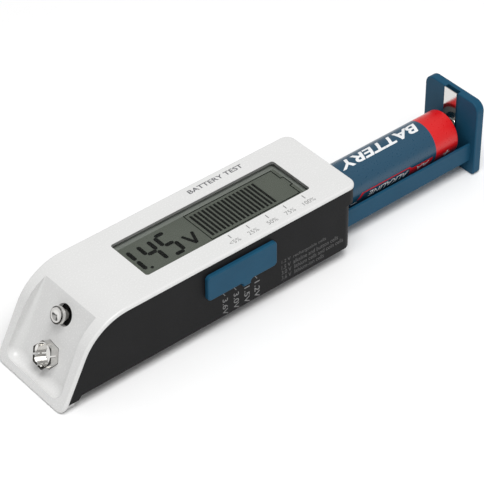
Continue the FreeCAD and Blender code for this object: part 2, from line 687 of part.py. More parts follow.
# ---------------------------------------------------------------- selector
def make_selector():
    body = new_body("selector_knob_moulding")
    face = new_sketch(body, "knob_face", "XZ_Plane", f"{SIDE} + 0.1")
    left = "sizes.knob_centre - sizes.knob_length / 2"
    right = "sizes.knob_centre + sizes.knob_length / 2"
    low = "sizes.knob_middle - sizes.knob_height / 2"
    high = "sizes.knob_middle + sizes.knob_height / 2"
    pointer = "sizes.knob_centre + sizes.pointer_offset"
    outline(face, [
        (left, low, "1.3"),
        (f"{pointer} - sizes.pointer_width / 2", low, "0.9"),
        (f"{pointer} - sizes.pointer_width / 2", f"{low} - sizes.pointer_drop", "0.4"),
        (f"{pointer} + sizes.pointer_width / 2", f"{low} - sizes.pointer_drop", "0.4"),
        (f"{pointer} + sizes.pointer_width / 2", low, "0.9"),
        (right, low, "1.3"),
        (right, high, "1.3"),
        (left, high, "1.3"),
    ])
    pad(body, face, "sizes.knob_proud")
    front = -value(SIDE) - 0.1 - value("sizes.knob_proud")
    fillet(body, "knob_edges", "0.45", lambda p, t, e: abs(p.y - front) < 0.01)
    stem = centred_box("knob_stem", ("sizes.knob_centre", f"-{SIDE} + 0.45", "sizes.stem_middle"),
                       ("sizes.stem_length", "1.7", "sizes.stem_height"))
    knob = join("selector_knob", [body, stem])
    slider_y = f"(-{SIDE} + 3.2)"
    slider = centred_box("slider_block", ("sizes.knob_centre", slider_y, "sizes.stem_middle"),
                         ("4.4", "1.8", "2.6"))
    finger = centred_box("slider_finger", ("sizes.knob_centre", f"-{SIDE} + 1.9", "sizes.stem_middle"),
                         ("2.6", "1.1", "2.0"))
    pieces = [knob, join("switch_slider", [slider, finger])]
    travel_middle = "sizes.knob_centre - sizes.selector_pitch / 2"
    frame = centred_box("switch_block", (travel_middle, f"-{SIDE} + 3.5", "sizes.stem_middle"),
                        ("21", "3.0", "3.5"))
    hollow = centred_box("switch_hollow", (travel_middle, f"-{SIDE} + 3.2", "sizes.stem_middle"),
                         ("17.2", "2.0", "2.8"))
    mouth = centred_box("switch_mouth", (travel_middle, f"-{SIDE} + 1.8", "sizes.stem_middle"),
                        ("15.2", "2.0", "2.2"))
    pieces.append(cut("selector_switch", frame, [hollow, mouth]))
    return pieces


# ---------------------------------------------------------------- 9 V terminals
def make_terminals():
    height = value("sizes.stud_height")
    radius = value("sizes.stud_radius")
    neck = value("sizes.stud_neck")
    rim = 0.45
    points = [(0, -3.1), (1.9, -3.1), (1.9, -2.75), (1.0, -2.75), (1.0, -1.68), (neck, -1.68),
              (neck, height - 1.9), (radius, height - 1.3), (radius, height - rim)]
    tops = [(radius - rim * (1 - math.cos(angle)), height - rim + rim * math.sin(angle))
            for angle in (math.pi / 6, math.pi / 3, math.pi / 2)]
    profile = [Vector(r, 0, z) for r, z in points + tops + [(radius - 1.1, height), (0, height - 0.35)]]
    stud = Part.Face(Part.makePolygon(profile + [profile[0]])).revolve(Vector(0, 0, 0), Vector(0, 0, 1), 360)
    parts = [shaped("stud_terminal", stud, on_slope(STUD_UP, "sizes.recess_depth"))]
    outer = value("sizes.socket_radius")
    tall = value("sizes.socket_height")
    petals = hexagon_prism(outer, 0, tall)
    vertical = [edge for edge in petals.Edges if edge.BoundBox.ZLength > tall / 2]
    petals = petals.makeFillet(0.5, vertical)
    petals = petals.cut(Part.makeCylinder(outer - 1.15, tall, Vector(0, 0, 0.5)))
    petals = petals.cut(Part.makeCone(outer - 1.15, outer - 0.75, 0.6, Vector(0, 0, tall - 0.6)))
    for side in range(3):
        slit = Part.makeBox(2 * outer + 2, 0.55, tall, Vector(-outer - 1, -0.275, 0.9))
        turn = 60 * side + 30 + value("sizes.socket_turn")
        petals = petals.cut(slit.rotate(Vector(0, 0, 0), Vector(0, 0, 1), turn))
    shank = Part.makeCylinder(1.0, 2.9, Vector(0, 0, -2.8))
    foot = Part.makeCylinder(1.9, 0.35, Vector(0, 0, -3.1))
    socket = petals.fuse([shank, foot])
    parts.append(shaped("socket_terminal", socket, on_slope(SOCKET_UP, "sizes.recess_depth")))
    board = Part.makeBox(19, 15, 1.0, Vector(-2.2, -7.5, -2.7))
    pitch = value("sizes.terminal_pitch")
    for along in (0, pitch):
        board = board.cut(Part.makeCylinder(1.05, 3, Vector(along, 0, -4)))
    parts.append(shaped("terminal_board", board, on_slope(SOCKET_UP, "sizes.recess_depth")))
    collar = hexagon_prism(outer - 0.05, -1.7, 1.65).cut(Part.makeCylinder(1.05, 3, Vector(0, 0, -2)))
    parts.append(shaped("socket_spacer", collar, on_slope(SOCKET_UP, "sizes.recess_depth")))
    return parts


def wire_run(name, points, radius, bend):
    """Insulated wire: straight runs joined by arcs that touch them."""
    edges = []
    start = points[0]
    for before, corner, after in zip(points, points[1:], points[2:]):
        to_before = (before - corner).normalize()
        to_after = (after - corner).normalize()
        half = to_before.getAngle(to_after) / 2
        enter = corner + to_before * (bend / math.tan(half))
        leave = corner + to_after * (bend / math.tan(half))
        crown = corner + (to_before + to_after).normalize() * (bend / math.sin(half) - bend)
        edges.append(Part.LineSegment(start, enter).toShape())
        edges.append(Part.Arc(enter, crown, leave).toShape())
        start = leave
    edges.append(Part.LineSegment(start, points[-1]).toShape())
    path = Part.Wire(edges)
    ring = Part.Wire(Part.makeCircle(radius, points[0], points[1] - points[0]))
    return shaped(name, path.makePipeShell([ring], True, False))


def make_leads():
    """Wires from the two terminals and from the rear contact to the underside of the board."""
    place = on_slope(SOCKET_UP, "sizes.recess_depth")
    pitch = value("sizes.terminal_pitch")
    under = value("sizes.board_bottom")
    front = value(f"{NOSE} + 29.2")
    joint = under - 0.52
    socket_end = place.multVec(Vector(1.2, 1.2, -3.6))
    stud_end = place.multVec(Vector(pitch - 1.2, -1.2, -3.6))
    turn = Vector(socket_end.x + 4.5, 3.0, socket_end.z + 0.4)
    parts = [wire_run("socket_lead", [socket_end, turn, Vector(front - 4, 4.5, 14.6),
                                      Vector(front + 3.5, 4.6, joint)], 0.5, 1.6)]
    parts.append(wire_run("stud_lead", [stud_end, Vector(stud_end.x + 4, -3.2, stud_end.z - 0.4),
                                        Vector(front + 3.5, -4.6, joint)], 0.5, 2.0))
    rear = value(f"{SHELL_REAR} - sizes.shell_wall - 2.6")
    back = value(f"{SHELL_REAR} - 6.8")
    parts.append(wire_run("contact_lead", [Vector(rear, 1.6, 19.25), Vector(rear - 0.5, 2.0, 14.6),
                                           Vector(back - 1.4, 2.4, 14.4), Vector(back - 2, 2.4, under - 0.2)],
                          0.5, 0.8))
    return parts


# ---------------------------------------------------------------- contacts
def make_contacts():
    metal = "sizes.sheet_metal"
    body = new_body("negative_contact")
    profile = new_sketch(body, "negative_profile", "XZ_Plane")
    face = f"({SHELL_REAR} + 0.05)"
    crest = f"({CELL_TIP} - sizes.cell_length - sizes.contact_gap)"
    outline(profile, [
        (f"{face} - 4.6", "19.6"),
        (f"{face} - 4.6", f"19.6 - {metal}"),
        (face, f"19.6 - {metal}"),
        (face, f"{CELL_Z} + 2.6"),
        (f"{crest} - {metal}", f"{CELL_Z} + 0.5"),
        (f"{crest} - {metal}", f"{CELL_Z} - 0.5"),
        (face, f"{CELL_Z} - 2.6"),
        (face, "7.4"),
        (f"{face} + {metal}", "7.4"),
        (f"{face} + {metal}", f"{CELL_Z} - 2.7"),
        (crest, f"{CELL_Z} - 0.6"),
        (crest, f"{CELL_Z} + 0.6"),
        (f"{face} + {metal}", f"{CELL_Z} + 2.7"),
        (f"{face} + {metal}", "19.6"),
    ])
    pad(body, profile, "5", midplane=True)
    strip = new_body("contact_strip")
    profile = new_sketch(strip, "strip_profile", "XZ_Plane")
    near = f"({PLATE_X} - sizes.strip_proud)"
    tip = f"({CELL_TIP} + sizes.contact_gap)"
    low = "sizes.underside + 0.55"
    inner = f"{DRAWER_END} + 2"
    outline(profile, [
        (near, f"{TOP} - 0.1"),
        (near, f"{CELL_Z} + 3.2"),
        (tip, f"{CELL_Z} + 0.9", "0.6"),
        (tip, f"{CELL_Z} - 0.9", "0.6"),
        (near, f"{CELL_Z} - 3.2"),
        (near, f"{low} + {metal}"),
        (inner, f"{low} + {metal}"),
        (inner, low),
        (f"{near} + {metal}", low),
        (f"{near} + {metal}", f"{CELL_Z} - 3.1"),
        (f"{tip} + {metal}", f"{CELL_Z} - 0.8", "0.4"),
        (f"{tip} + {metal}", f"{CELL_Z} + 0.8", "0.4"),
        (f"{near} + {metal}", f"{CELL_Z} + 3.1"),
        (f"{near} + {metal}", f"{TOP} - 0.1"),
    ])
    pad(strip, profile, "sizes.slot_width - 0.15", midplane=True)
    brush = new_body("strip_brush")
    profile = new_sketch(brush, "brush_profile", "XZ_Plane")
    touch = f"{low} + {metal} + 0.03"
    heel = f"({SHELL_REAR} - 12.6)"
    outline(profile, [
        (heel, "sizes.board_bottom - 0.02"),
        (heel, "12.2"),
        (f"{heel} - 3", "6.5"),
        (f"{heel} - 4.2", touch),
        (f"{heel} - 5.2", touch),
        (f"{heel} - 6.6", "6.6"),
        (f"{heel} - 6.3", "6.7"),
        (f"{heel} - 5.05", f"{touch} + {metal}"),
        (f"{heel} - 4.35", f"{touch} + {metal}"),
        (f"{heel} - 3.3", "6.6"),
        (f"{heel} - {metal}", "12.3"),
        (f"{heel} - {metal}", "sizes.board_bottom - 0.02"),
    ])
    pad(brush, profile, "2.4", midplane=True)
    return [body, strip, brush]


# ---------------------------------------------------------------- drawer
def make_drawer():
    body = new_body("drawer_moulding")
    section = new_sketch(body, "tray_section", "YZ_Plane", DRAWER_END)
    half, keel = "sizes.drawer_width / 2", "sizes.keel_width / 2"
    shoulder = "sizes.underside + sizes.drawer_lip + sizes.slide_gap"
    outline(section, [
        (f"-{half}", shoulder),
        (f"-{keel}", shoulder),
        (f"-{keel}", "sizes.underside"),
        (keel, "sizes.underside"),
        (keel, shoulder),
        (half, shoulder),
        (half, "sizes.drawer_top"),
        (f"-{half}", "sizes.drawer_top"),
    ])
    pad(body, section, f"{PLATE_X} + 0.5 - {DRAWER_END}")
    trough = new_sketch(body, "trough", "YZ_Plane", f"{DRAWER_END} - 1")
    circle(trough, "0", TROUGH_Z, "sizes.trough_radius")
    pocket(body, trough, f"{PLATE_X} + 1 - {DRAWER_END}", reverse=True)
    plate = new_sketch(body, "end_plate", "YZ_Plane", PLATE_X)
    across = "sizes.plate_width / 2"
    outline(plate, [
        (f"-{across}", "0", "1.2"),
        (across, "0", "1.2"),
        (across, "sizes.plate_height", "sizes.plate_round"),
        (f"-{across}", "sizes.plate_height", "sizes.plate_round"),
    ])
    pad(body, plate, "sizes.plate_thick")
    outer = value(f"{PLATE_X} + sizes.plate_thick")
    fillet(body, "plate_outer_edge", "0.5", lambda p, t, e: abs(p.x - outer) < 0.01)
    inner = value(PLATE_X)
    fillet(body, "plate_inner_edge", "0.4", lambda p, t, e: abs(p.x - inner) < 0.01 and (
        abs(abs(p.y) - value(across)) < 0.01 and p.z > 2 or p.z > value("sizes.plate_height") - 3))
    groove = new_sketch(body, "strip_groove", "XY_Plane", "sizes.underside + 0.5")
    rectangle(groove, f"({DRAWER_END} - 1 + {PLATE_X} + sizes.slot_depth) / 2", "0",
              f"{PLATE_X} + sizes.slot_depth - {DRAWER_END} + 1", "sizes.slot_width")
    pocket(body, groove, "1.6", reverse=True)
    slot = new_sketch(body, "plate_slot", "XY_Plane", "sizes.underside + 0.5")
    rectangle(slot, f"{PLATE_X} + sizes.slot_depth / 2 - 0.5", "0",
              "sizes.slot_depth + 1", "sizes.slot_width")
    pocket(body, slot, "sizes.plate_height - sizes.underside + 1", reverse=True)
    rib = centred_box("spring_rib", (f"{STOP_X} + 0.75", SPRING_Y, "8.15"), ("1.5", "4.2", "6.3"))
    blank = join("drawer_with_rib", [body, rib])
    hole_start = Vector(value(STOP_X) - 1, value(SPRING_Y), value(SPRING_Z))
    hook_hole = shaped("hook_hole", Part.makeCylinder(0.7, 4, hole_start, Vector(1, 0, 0)))
    return cut("drawer", blank, [hook_hole])


def make_return_spring():
    """Extension spring from the post behind the nose to the rib across the drawer's trough."""
    start = value(POST_X) + 1.1
    end = value(STOP_X) + 1.5
    coil_start, coil_end = start + 3.0, end - 3.5
    coil = 1.75
    turns = 34
    helix = Part.makeHelix((coil_end - coil_start) / turns, coil_end - coil_start, coil)
    wire = value("sizes.spring_wire")
    ring = Part.Wire(Part.makeCircle(wire, Vector(coil, 0, 0), Vector(0, 1, 0)))
    spring = Part.Wire(helix).makePipeShell([ring], True, True)
    spring.rotate(Vector(0, 0, 0), Vector(0, 1, 0), 90)
    spring.translate(Vector(coil_start, value(SPRING_Y), value(SPRING_Z)))
    return shaped("return_spring", spring)


def make_spring_ends():
    """Hooks at the ends of the return spring."""
    post_x = value(POST_X)
    across, height = value(SPRING_Y), value(SPRING_Z)
    along = Vector(1, 0, 0)
    wire = value("sizes.spring_wire")
    loop_radius = 1.35
    loop = Part.makeTorus(loop_radius, wire, Vector(post_x, across, height), Vector(0, 0, 1))
    shank = Part.makeCylinder(wire, 2.7, Vector(post_x + loop_radius, across, height), along)
    rib_x = value(STOP_X)
    pin = Part.makeCylinder(wire, 5.2, Vector(rib_x - 3.1, across, height), along)
    bead = Part.makeCylinder(1.0, 0.5, Vector(rib_x + 1.55, across, height), along)
    return shaped("spring_hook_fixed", loop.fuse(shank)), shaped("spring_hook_drawer", pin.fuse(bead))


# ---------------------------------------------------------------- AA cell
def make_cell():
    """The AA cell that the drawer is clamped on, as its own small assembly."""
    radius = value("sizes.cell_radius")
    tip = value(CELL_TIP)
    shoulder = tip - value("sizes.cell_nub_length")
    back = tip - value("sizes.cell_length")
    height = value(CELL_Z)
    along = Vector(1, 0, 0)

    def drum(start, end, outer, inner=0.0):
        solid = Part.makeCylinder(outer, end - start, Vector(start, 0, height), along)
        if inner:
            solid = solid.cut(Part.makeCylinder(inner, end - start, Vector(start, 0, height), along))
        return solid

    jacket = drum(back + 0.25, shoulder, radius)
    ends = [edge for edge in jacket.Edges if edge.Closed and abs(edge.BoundBox.XLength) < 1e-6]
    jacket = jacket.makeFillet(0.45, ends)
    jacket = jacket.cut(drum(back + 0.2, shoulder - 0.15, radius - 0.12))
    jacket = jacket.cut(drum(shoulder - 0.2, shoulder + 0.1, radius - 1.2))
    jacket = jacket.cut(drum(back, back + 0.6, radius - 1.0))
    can = drum(back + 0.5, shoulder - 0.3, radius - 0.14)
    seal = drum(shoulder - 0.29, shoulder - 0.02, radius - 1.25, 4.2)
    nub = drum(shoulder - 0.1, tip, value("sizes.cell_nub_radius"))
    cap = drum(shoulder - 0.29, shoulder - 0.04, 4.15).fuse(nub)
    rim = [edge for edge in cap.Edges if edge.Closed and abs(edge.BoundBox.XMax - tip) < 1e-6]
    cap = cap.makeFillet(0.35, rim)
    base = drum(back, back + 0.48, 4.6).fuse(drum(back + 0.2, back + 0.48, radius - 1.05))
    return [
        shaped("cell_jacket", jacket),
        shaped("cell_can", can),
        shaped("cell_seal", seal),
        shaped("cell_positive_cap", cap),
        shaped("cell_negative_base", base),
    ]


# ---------------------------------------------------------------- build, check and write
def problems(parts):
    found = [f"{item.Name}: {item.State}" for item in doc.Objects if {"Invalid", "Error"} & set(item.State)]
    for part in parts:
        if part.Shape.isNull() or not part.Shape.isValid() or not part.Shape.Solids:
            found.append(f"{part.Label}: no valid shape")
    return found


nodes = [make_top_cover(), make_bottom_shell()]
nodes += make_display()
nodes += make_electronics()
nodes += make_selector()
nodes += make_terminals()
nodes += make_leads()
nodes += make_contacts()
nodes.append(make_drawer())
nodes.append(make_return_spring())
nodes += make_spring_ends()
nodes += make_cell()
doc.recompute()
faults = problems(nodes)
if faults:
    raise SystemExit("\n".join(faults))
os.makedirs("parts", exist_ok=True)
for node in nodes:
    node.Shape.exportStep(f"parts/{node.Label}.step")
    print(f"{node.Label}: {len(node.Shape.Solids)} solid(s), {node.Shape.Volume:.1f} mm3")
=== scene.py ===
"""Looks of a hand-held battery tester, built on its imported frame.

Row frame, metres: +X from the nose to the drawer's end plate, +Z up, z = 0 on the table.
The selector is on the -Y side. Sizes written with MM are millimetres.
"""
import math

import bmesh
import bpy
from mathutils import Matrix, Vector


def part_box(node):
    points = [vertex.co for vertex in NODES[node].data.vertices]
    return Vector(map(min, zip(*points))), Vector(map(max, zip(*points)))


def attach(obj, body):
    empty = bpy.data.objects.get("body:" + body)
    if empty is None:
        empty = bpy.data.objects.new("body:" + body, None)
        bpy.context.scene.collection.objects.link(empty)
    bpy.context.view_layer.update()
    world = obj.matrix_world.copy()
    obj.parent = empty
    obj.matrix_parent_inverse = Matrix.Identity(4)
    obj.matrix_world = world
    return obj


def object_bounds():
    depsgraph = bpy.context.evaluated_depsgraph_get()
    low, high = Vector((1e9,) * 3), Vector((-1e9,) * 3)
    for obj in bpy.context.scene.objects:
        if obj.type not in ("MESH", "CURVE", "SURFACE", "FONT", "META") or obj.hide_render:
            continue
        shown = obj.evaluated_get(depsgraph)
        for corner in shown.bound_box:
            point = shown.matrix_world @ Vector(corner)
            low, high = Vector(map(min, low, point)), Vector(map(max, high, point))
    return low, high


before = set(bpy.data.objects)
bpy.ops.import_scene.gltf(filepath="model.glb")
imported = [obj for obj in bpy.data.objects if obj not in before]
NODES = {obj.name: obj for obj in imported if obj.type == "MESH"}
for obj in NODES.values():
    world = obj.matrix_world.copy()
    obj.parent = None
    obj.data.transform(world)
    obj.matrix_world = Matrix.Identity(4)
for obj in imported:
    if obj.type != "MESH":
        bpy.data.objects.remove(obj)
CAD_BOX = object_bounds()
MM = 0.001
PRINT = 0.015 * MM  # thickness of printed ink


# ---------------------------------------------------------------- camera
# Place in the row frame, the directions of the view's axes, and a long lens on a 36 mm sensor.
CAMERA_RIGHT = Vector((0.768396, -0.639937, -0.006894))
CAMERA_DOWN = Vector((-0.415206, -0.490297, -0.766298))
CAMERA_FORWARD = Vector((0.487003, 0.591683, -0.642448))
CAMERA_PLACE = Vector((-0.320068, -0.383268, 0.427156))
CAMERA_LENS = 167.24
SENSOR_WIDTH = 36


def make_camera():
    data = bpy.data.cameras.new("camera")
    data.sensor_width = SENSOR_WIDTH
    data.lens = CAMERA_LENS
    data.clip_start, data.clip_end = 0.01, 20
    camera = bpy.data.objects.new("camera", data)
    bpy.context.scene.collection.objects.link(camera)
    turn = Matrix((CAMERA_RIGHT, -CAMERA_DOWN, -CAMERA_FORWARD)).transposed()
    camera.matrix_world = Matrix.Translation(CAMERA_PLACE) @ turn.to_4x4()
    bpy.context.scene.camera = camera


# ---------------------------------------------------------------- node materials
NOISE_LOW, NOISE_HIGH = 0.3, 0.7  # where most of a noise texture's values lie


def new_material(name):
    """Empty node material with a Principled shader on its output."""
    material = bpy.data.materials.new(name)
    material.use_nodes = True
    tree = material.node_tree
    tree.nodes.clear()
    shader = tree.nodes.new("ShaderNodeBsdfPrincipled")
    output = tree.nodes.new("ShaderNodeOutputMaterial")
    tree.links.new(shader.outputs["BSDF"], output.inputs["Surface"])
    return material, tree, shader


def row_coordinates(tree):
    """Object coordinates: the row frame in metres, because every piece sits at the origin."""
    return tree.nodes.new("ShaderNodeTexCoord").outputs["Object"]


def noise(tree, size, detail=2.0, stretch=None):
    """Noise value with features of about `size` metres."""
    where = row_coordinates(tree)
    if stretch:
        mapping = tree.nodes.new("ShaderNodeMapping")
        mapping.inputs["Scale"].default_value = stretch
        tree.links.new(where, mapping.inputs["Vector"])
        where = mapping.outputs["Vector"]
    node = tree.nodes.new("ShaderNodeTexNoise")
    node.inputs["Scale"].default_value = 1 / size
    node.inputs["Detail"].default_value = detail
    tree.links.new(where, node.inputs["Vector"])
    return node.outputs["Fac"]


def ranged(tree, value, start, end, low, high):
    """Value that runs from `low` at `start` to `high` at `end`, and stays level outside."""
    node = tree.nodes.new("ShaderNodeMapRange")
    for name, number in (("From Min", start), ("From Max", end), ("To Min", low), ("To Max", high)):
        node.inputs[name].default_value = number
    tree.links.new(value, node.inputs["Value"])
    return node.outputs["Result"]


def remap(tree, value, low, high):
    """Noise value spread over the range from `low` to `high`."""
    return ranged(tree, value, NOISE_LOW, NOISE_HIGH, low, high)


def product(tree, first, second):
    """Two values multiplied."""
    node = tree.nodes.new("ShaderNodeMath")
    node.operation = "MULTIPLY"
    tree.links.new(first, node.inputs[0])
    tree.links.new(second, node.inputs[1])
    return node.outputs[0]


def shaded(tree, factor, dark, light):
    """Colour from `dark` at factor 0 to `light` at factor 1."""
    node = tree.nodes.new("ShaderNodeMix")
    node.data_type = "RGBA"
    node.inputs[6].default_value = (*dark, 1)
    node.inputs[7].default_value = (*light, 1)
    tree.links.new(factor, node.inputs[0])
    return node.outputs[2]


def vector_math(tree, operation, first, constant=None):
    """Result of one vector operation, with a fixed second input where it has one."""
    node = tree.nodes.new("ShaderNodeVectorMath")
    node.operation = operation
    if constant is not None:
        node.inputs[1].default_value = constant
    tree.links.new(first, node.inputs[0])
    return node.outputs["Value" if operation in ("DOT_PRODUCT", "LENGTH") else "Vector"]


def bumped(tree, shader, height, distance):
    """Gives the shader a relief `distance` metres deep."""
    node = tree.nodes.new("ShaderNodeBump")
    node.inputs["Distance"].default_value = distance
    node.inputs["Strength"].default_value = 1
    tree.links.new(height, node.inputs["Height"])
    tree.links.new(node.outputs["Normal"], shader.inputs["Normal"])


def plastic(name, colour, roughness, grain, depth, spread=0.06, specular=0.5):
    """Moulded plastic: fine surface grain in bump and gloss, and a little uneven colour."""
    material, tree, shader = new_material(name)
    dark = [channel * (1 - spread) for channel in colour]
    light = [min(1, channel * (1 + spread)) for channel in colour]
    broad = remap(tree, noise(tree, 9 * MM), 0, 1)
    tree.links.new(shaded(tree, broad, dark, light), shader.inputs["Base Color"])
    fine = noise(tree, grain, 3)
    tree.links.new(remap(tree, fine, roughness * 0.88, roughness * 1.12), shader.inputs["Roughness"])
    shader.inputs["Specular IOR Level"].default_value = specular
    bumped(tree, shader, fine, depth)
    return material


def metal(name, colour, roughness, stretch=(1, 1, 1), grain=0.4 * MM, depth=0.004 * MM):
    """Plated or rolled metal with a drawn grain."""
    material, tree, shader = new_material(name)
    lines = noise(tree, grain, 3, stretch)
    dark = [channel * 0.86 for channel in colour]
    tree.links.new(shaded(tree, remap(tree, lines, 0, 1), dark, colour), shader.inputs["Base Color"])
    tree.links.new(remap(tree, lines, roughness * 0.8, roughness * 1.25), shader.inputs["Roughness"])
    shader.inputs["Metallic"].default_value = 1
    bumped(tree, shader, lines, depth)
    return material


def clear(name, colour, alpha, roughness, specular):
    """See-through plastic with a slightly uneven gloss."""
    material, tree, shader = new_material(name)
    haze = remap(tree, noise(tree, 6 * MM), roughness * 0.9, roughness * 1.1)
    tree.links.new(haze, shader.inputs["Roughness"])
    shader.inputs["Base Color"].default_value = (*colour, 1)
    shader.inputs["Specular IOR Level"].default_value = specular
    shader.inputs["Alpha"].default_value = alpha
    return material


NOSE_LEAN = math.radians(27)
OUTWARD = Vector((-math.cos(NOSE_LEAN), 0, math.sin(NOSE_LEAN)))
RIM_DEPTH = 0.35 * MM
RIM_BLEND = 0.1 * MM
BRIGHT_NICKEL = (0.72, 0.71, 0.69)
# Colour of the painted dark reflection on the terminals' outer rims.
PAINTED_DARK_REFLECTION = (0.035, 0.033, 0.03)


def terminal_nickel_with_painted_rim(name, node, hub, ring):
    """Nickel with a painted dark reflection on its outermost rim.

    The rim is what lies within RIM_DEPTH of the tip along `OUTWARD` and beyond `ring` from the hub."""
    material, tree, shader = new_material(name)
    tip = max(OUTWARD.dot(vertex.co) for vertex in NODES[node].data.vertices)
    where = row_coordinates(tree)
    along = vector_math(tree, "DOT_PRODUCT", where, OUTWARD)
    outer = ranged(tree, along, tip - RIM_DEPTH, tip - RIM_DEPTH / 2, 0, 1)
    offset = vector_math(tree, "SUBTRACT", where, hub)
    radius = vector_math(tree, "LENGTH", vector_math(tree, "CROSS_PRODUCT", offset, OUTWARD))
    rim = product(tree, outer, ranged(tree, radius, ring, ring + RIM_BLEND, 0, 1))
    # The rim gets a painted dark reflection in place of the nickel's own colour.
    tree.links.new(shaded(tree, rim, BRIGHT_NICKEL, PAINTED_DARK_REFLECTION), shader.inputs["Base Color"])
    lines = noise(tree, 0.4 * MM, 3)
    tree.links.new(remap(tree, lines, 0.08, 0.13), shader.inputs["Roughness"])
    shader.inputs["Metallic"].default_value = 1
    bumped(tree, shader, lines, 0.003 * MM)
    return material


# Plastics: colour, roughness, grain size, grain depth, spread of the colour, specular level.
# Metals: colour, roughness, and how much finer the grain is along X, Y and Z.
# The pane: colour, alpha, roughness, specular level.
WHITE = plastic("white_plastic", (0.69, 0.69, 0.683), 0.26, 0.5 * MM, 0.0012 * MM, 0.008)
BLACK = plastic("black_plastic", (0.008, 0.008, 0.0085), 0.5, 0.45 * MM, 0.02 * MM, 0.1, 0.12)
BLUE = plastic("blue_plastic", (0.0105, 0.069, 0.128), 0.42, 0.45 * MM, 0.008 * MM, 0.05, 0.12)
GREY = plastic("grey_plastic", (0.10, 0.10, 0.10), 0.55, 0.5 * MM, 0.01 * MM)
RUBBER = plastic("zebra_rubber", (0.35, 0.35, 0.34), 0.7, 0.3 * MM, 0.01 * MM)
BOARD = plastic("board_resist", (0.015, 0.11, 0.04), 0.3, 1.2 * MM, 0.01 * MM, 0.2)
CHIP = plastic("chip_epoxy", (0.018, 0.018, 0.02), 0.55, 0.25 * MM, 0.01 * MM)
FERRITE = plastic("ferrite", (0.04, 0.04, 0.045), 0.65, 0.2 * MM, 0.02 * MM)
SEAL = plastic("cell_seal_nylon", (0.42, 0.42, 0.40), 0.5, 0.5 * MM, 0.01 * MM)
RED_WIRE = plastic("red_wire", (0.42, 0.015, 0.015), 0.4, 0.8 * MM, 0.01 * MM)
BLACK_WIRE = plastic("black_wire", (0.02, 0.02, 0.02), 0.4, 0.8 * MM, 0.01 * MM)
NICKEL = metal("nickel_plate", BRIGHT_NICKEL, 0.1)
SPRING_STEEL = metal("spring_steel", (0.55, 0.55, 0.56), 0.3, (1, 8, 8))
SCREW_STEEL = metal("screw_steel", (0.48, 0.48, 0.49), 0.35)
ROLLED = metal("rolled_strip", (0.78, 0.77, 0.75), 0.09, (1, 12, 1))
ALUMINIUM = metal("can_aluminium", (0.7, 0.7, 0.71), 0.35, (1, 1, 10))
PANE = clear("window_pane", (0.02, 0.022, 0.02), 0.25, 0.05, 0.12)
LCD_BACK = plastic("lcd_back", (0.262, 0.292, 0.242), 0.32, 0.25 * MM, 0.003 * MM, 0.03, 0.2)
LCD_GLASS = plastic("lcd_bare_glass", (0.52, 0.56, 0.505), 0.2, 0.8 * MM, 0.002 * MM, 0.03, 0.3)
LCD_INK = plastic("lcd_segment", (0.002, 0.0025, 0.002), 0.5, 0.3 * MM, 0.002 * MM, 0.1, 0.1)
LCD_LINE = plastic("lcd_outline", (0.004, 0.005, 0.004), 0.5, 0.3 * MM, 0.002 * MM, 0.1, 0.1)
GREY_INK = plastic("grey_print", (0.13, 0.13, 0.13), 0.5, 0.2 * MM, 0.003 * MM, 0.12)
DARK_INK = plastic("dark_print", (0.11, 0.11, 0.12), 0.5, 0.2 * MM, 0.003 * MM, 0.12)
SIDE_INK = plastic("side_print", (0.19, 0.19, 0.19), 0.55, 0.2 * MM, 0.003 * MM, 0.15)
LEGEND_INK = plastic("legend_print", (0.075, 0.075, 0.075), 0.55, 0.2 * MM, 0.003 * MM, 0.15)
WHITE_INK = plastic("white_print", (0.8, 0.81, 0.82), 0.35, 0.2 * MM, 0.003 * MM, 0.05)
# The small print's ink is whiter than the title's: painted light for print that lies in the shade low on the
# cell.
SMALL_INK_PAINTED_LIGHT = plastic("small_white_print_painted_light", (0.97, 0.97, 0.97), 0.35, 0.2 * MM, 0.003 * MM, 0.03)
RED_INK = plastic("red_print", (0.62, 0.008, 0.012), 0.3, 0.3 * MM, 0.003 * MM, 0.05)
FILM_BLUE = (0.011, 0.06, 0.11)
FILM_RED = (0.63, 0.006, 0.008)
BAND_BLEND = 0.03 * MM


def label_film():
    """The cell's printed film: blue, with a red band at its positive end."""
    material, tree, shader = new_material("cell_label_film")
    split = tree.nodes.new("ShaderNodeSeparateXYZ")
    tree.links.new(row_coordinates(tree), split.inputs[0])
    band = ranged(tree, split.outputs["X"], RED_BAND_START - BAND_BLEND, RED_BAND_START + BAND_BLEND, 0, 1)
    tree.links.new(shaded(tree, band, FILM_BLUE, FILM_RED), shader.inputs["Base Color"])
    fine = noise(tree, 0.6 * MM, 3)
    tree.links.new(remap(tree, fine, 0.26, 0.36), shader.inputs["Roughness"])
    bumped(tree, shader, fine, 0.0008 * MM)
    return material


# ---------------------------------------------------------------- making pieces
WELD = 1e-7
CUT = 1e-8


def add_piece(name, mesh, material, body):
    """New visible piece that rides on a body and takes the given material."""
    piece = bpy.data.objects.new(name, mesh)
    bpy.context.scene.collection.objects.link(piece)
    mesh.materials.clear()
    mesh.materials.append(material)
    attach(piece, body)


def slab(outlines, thickness):
    """Flat plates from outlines (lists of (u, v)), from height 0 to `thickness`."""
    shape = bmesh.new()
    for outline in outlines:
        low = [shape.verts.new((u, v, 0)) for u, v in outline]
        high = [shape.verts.new((u, v, thickness)) for u, v in outline]
        shape.faces.new(high)
        shape.faces.new(list(reversed(low)))
        for index in range(len(outline)):
            following = (index + 1) % len(outline)
            shape.faces.new((low[index], low[following], high[following], high[index]))
    bmesh.ops.recalc_face_normals(shape, faces=shape.faces[:])
    mesh = bpy.data.meshes.new("slab")
    shape.to_mesh(mesh)
    shape.free()
    return mesh


